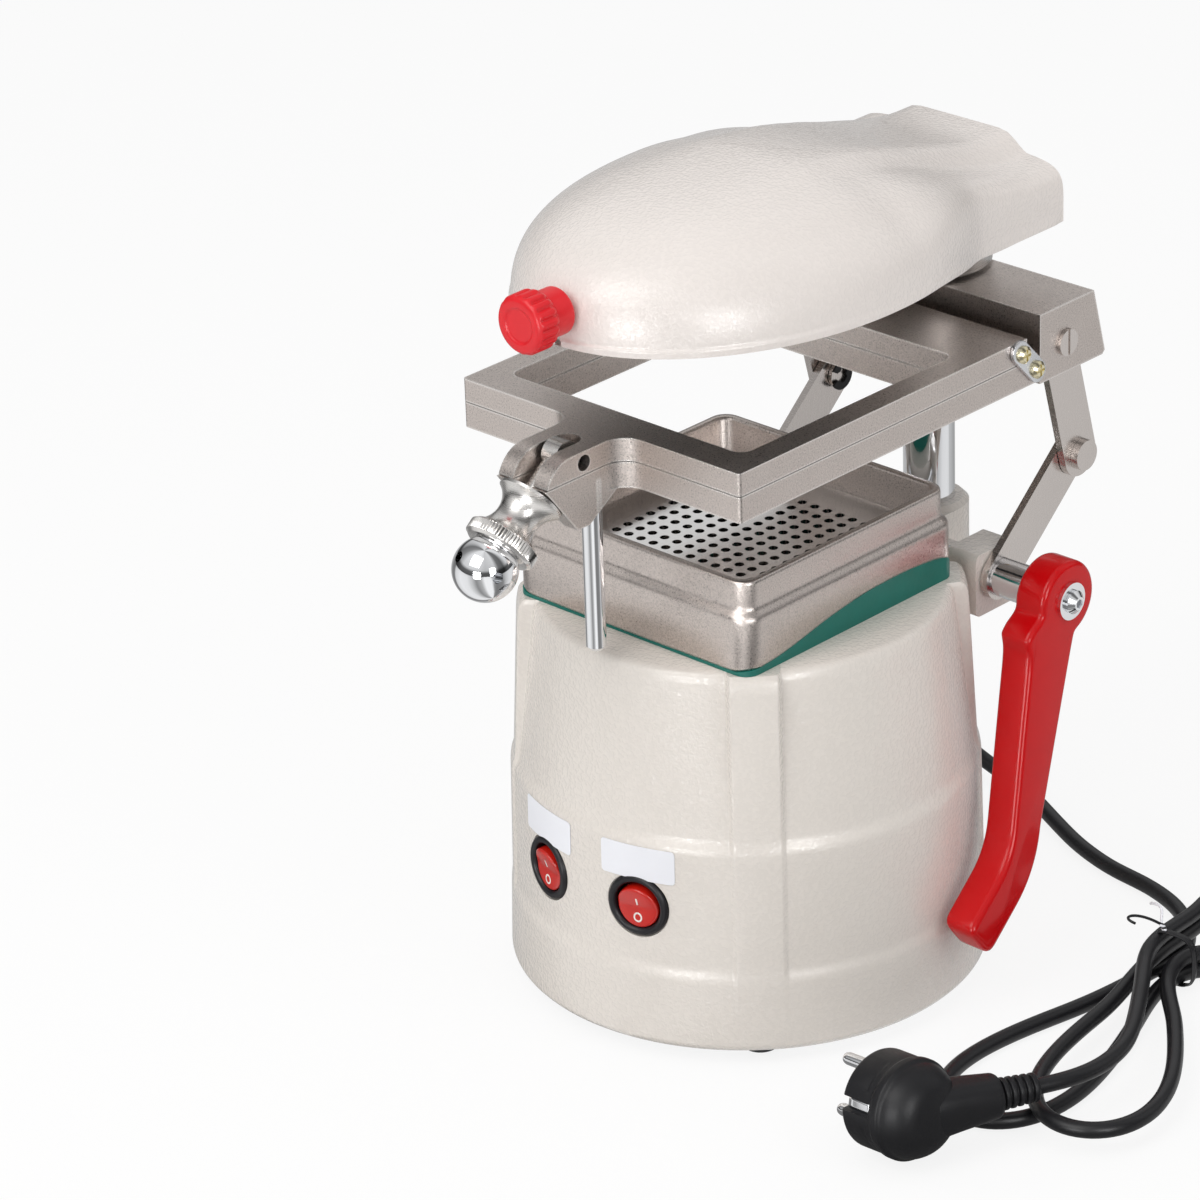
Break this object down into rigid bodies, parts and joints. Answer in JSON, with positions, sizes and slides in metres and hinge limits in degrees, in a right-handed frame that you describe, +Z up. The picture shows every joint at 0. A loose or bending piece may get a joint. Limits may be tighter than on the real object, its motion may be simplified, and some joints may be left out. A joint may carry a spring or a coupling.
{
  "type": "dental vacuum forming machine",
  "caption": "Round cast body with a suction tray, a film frame lowered by a side handle through toggle links, and a heater dome that swings on the rear column.",
  "frame": {"origin": "on the table plane, on the axis of the round body, at the centre of the four feet", "axes": "+Z up along the body and the column, +X to the machine's right, where the handle is, -Y to its front, where the switches and the clamp are"},
  "size_m": [0.2981, 0.3149, 0.328],
  "materials": {
    "cream_enamel": "hammertone enamel, satin",
    "dome_enamel": "smooth enamel",
    "satin_nickel": "bead blasted satin",
    "link_steel": "brushed",
    "polished_chrome": "polished",
    "turned_steel": "turned",
    "zinc_steel": "zinc plated",
    "yellow_zinc": "yellow passivated zinc",
    "teal_silicone": "matt",
    "perforated_steel": "satin",
    "black_rubber": "matt",
    "black_pvc": "satin",
    "plug_plastic": "satin",
    "switch_black": "satin",
    "rocker_red": "glossy, translucent",
    "handle_red": "glossy",
    "knob_red": "glossy",
    "bush_bronze": "sintered",
    "motor_steel": "plain",
    "cast_aluminium": "as cast",
    "ceramic": "ceramic, matt",
    "terminal_white": "plain"
  },
  "bodies": {
    "base": {"body_shell": "cream_enamel", "rear_yoke": "cream_enamel", "column": "polished_chrome", "column_set_screws": "zinc_steel", "base_plate": "zinc_steel", "base_screws": "zinc_steel", "rubber_feet": "black_rubber", "gasket": "teal_silicone", "forming_tray": "satin_nickel", "perforated_plate": "perforated_steel", "suction_duct": "black_rubber", "motor_bracket": "zinc_steel", "motor_screws": "zinc_steel", "fan_housing": "switch_black", "motor_body": "motor_steel", "terminal_block": "terminal_white", "heat_switch_housing": "switch_black", "model_switch_housing": "switch_black", "cord_boot": "black_rubber", "cord_lead": "black_pvc", "cord_hank": "black_pvc", "cord_plug_lead": "black_pvc", "cord_plug": "plug_plastic", "cord_tie": "black_pvc"},
    "suction_rotor": {"impeller": "cast_aluminium"},
    "heat_rocker": {"heat_switch_rocker": "rocker_red"},
    "model_rocker": {"model_switch_rocker": "rocker_red"},
    "crank": {"crank_shaft": "polished_chrome", "handle": "handle_red", "handle_spacer": "polished_chrome", "handle_washer": "polished_chrome", "handle_screw": "polished_chrome", "shaft_end_washer": "polished_chrome", "shaft_end_screw": "yellow_zinc", "lower_link_right": "link_steel", "lower_link_left": "link_steel", "elbow_rivets": "link_steel"},
    "upper_links": {"upper_link_right": "link_steel", "upper_link_left": "link_steel"},
    "carriage": {"lower_frame": "satin_nickel", "slide_bushes": "bush_bronze", "link_pins": "link_steel", "front_rod": "polished_chrome", "hinge_plates": "polished_chrome", "hinge_screws": "yellow_zinc"},
    "film_frame": {"upper_frame": "satin_nickel", "clamp_pin": "turned_steel"},
    "clamp_bolt": {"swing_bolt": "turned_steel"},
    "clamp_seat": {"clamp_sleeve": "turned_steel"},
    "clamp_nut": {"clamp_ring": "turned_steel", "clamp_ball": "polished_chrome"},
    "heater": {"dome_shell": "dome_enamel", "dome_hub": "turned_steel", "heat_reflector": "cast_aluminium", "heating_plate": "ceramic", "dome_knob": "knob_red"}
  },
  "joints": [
    {"name": "handle_swing", "type": "hinge", "parent": "base", "child": "crank", "pos_m": [0, 0.078, 0.1475], "axis": [-1, 0, 0], "range_deg": [0, 41]},
    {"name": "carriage_slide", "type": "slide", "parent": "base", "child": "carriage", "axis": [0, 0, -1], "range_m": [0, 0.0428]},
    {"name": "upper_link_swing", "type": "hinge", "parent": "crank", "child": "upper_links", "pos_m": [0, 0.1205, 0.1845], "axis": [1, 0, 0], "range_deg": [0, 60.1]},
    {"name": "clamp_swing", "type": "hinge", "parent": "film_frame", "child": "clamp_bolt", "pos_m": [0, -0.094, 0.23975], "axis": [-1, 0, 0], "range_deg": [0, 70]},
    {"name": "film_frame_tilt", "type": "hinge", "parent": "carriage", "child": "film_frame", "pos_m": [0, 0.07955, 0.2398], "axis": [-1, 0, 0], "range_deg": [0, 4.81]},
    {"name": "clamp_seat_slide", "type": "slide", "parent": "clamp_bolt", "child": "clamp_seat", "axis": [0, -0.788, -0.6157], "range_m": [0, 0.014]},
    {"name": "clamp_nut_turn", "type": "hinge", "parent": "clamp_seat", "child": "clamp_nut", "pos_m": [0, -0.094, 0.23975], "axis": [0, -0.788, -0.6157], "range_deg": [0, 1260]},
    {"name": "dome_swing", "type": "hinge", "parent": "base", "child": "heater", "pos_m": [0, 0.108, 0.26], "axis": [0, 0, -1], "range_deg": [0, 110]},
    {"name": "heat_rocker_tilt", "type": "hinge", "parent": "base", "child": "heat_rocker", "pos_m": [0.02174, -0.08114, 0.062], "axis": [-0.9659, -0.2588, 0], "range_deg": [0, 16]},
    {"name": "model_rocker_tilt", "type": "hinge", "parent": "base", "child": "model_rocker", "pos_m": [-0.02174, -0.08114, 0.062], "axis": [-0.9659, 0.2588, 0], "range_deg": [0, 16]},
    {"name": "impeller_turn", "type": "hinge", "parent": "base", "child": "suction_rotor", "pos_m": [0, -0.003, 0.092], "axis": [0, 0, 1], "continuous": true}
  ],
  "couplings": [
    {"joint": "carriage_slide", "follows": "handle_swing", "m_per_rad": 0.059785},
    {"joint": "upper_link_swing", "follows": "handle_swing", "ratio": 1.4648},
    {"joint": "film_frame_tilt", "follows": "clamp_swing", "ratio": 0.06875},
    {"joint": "clamp_seat_slide", "follows": "clamp_swing", "m_per_rad": 0.011459},
    {"joint": "clamp_nut_turn", "follows": "clamp_swing", "ratio": 18}
  ]
}
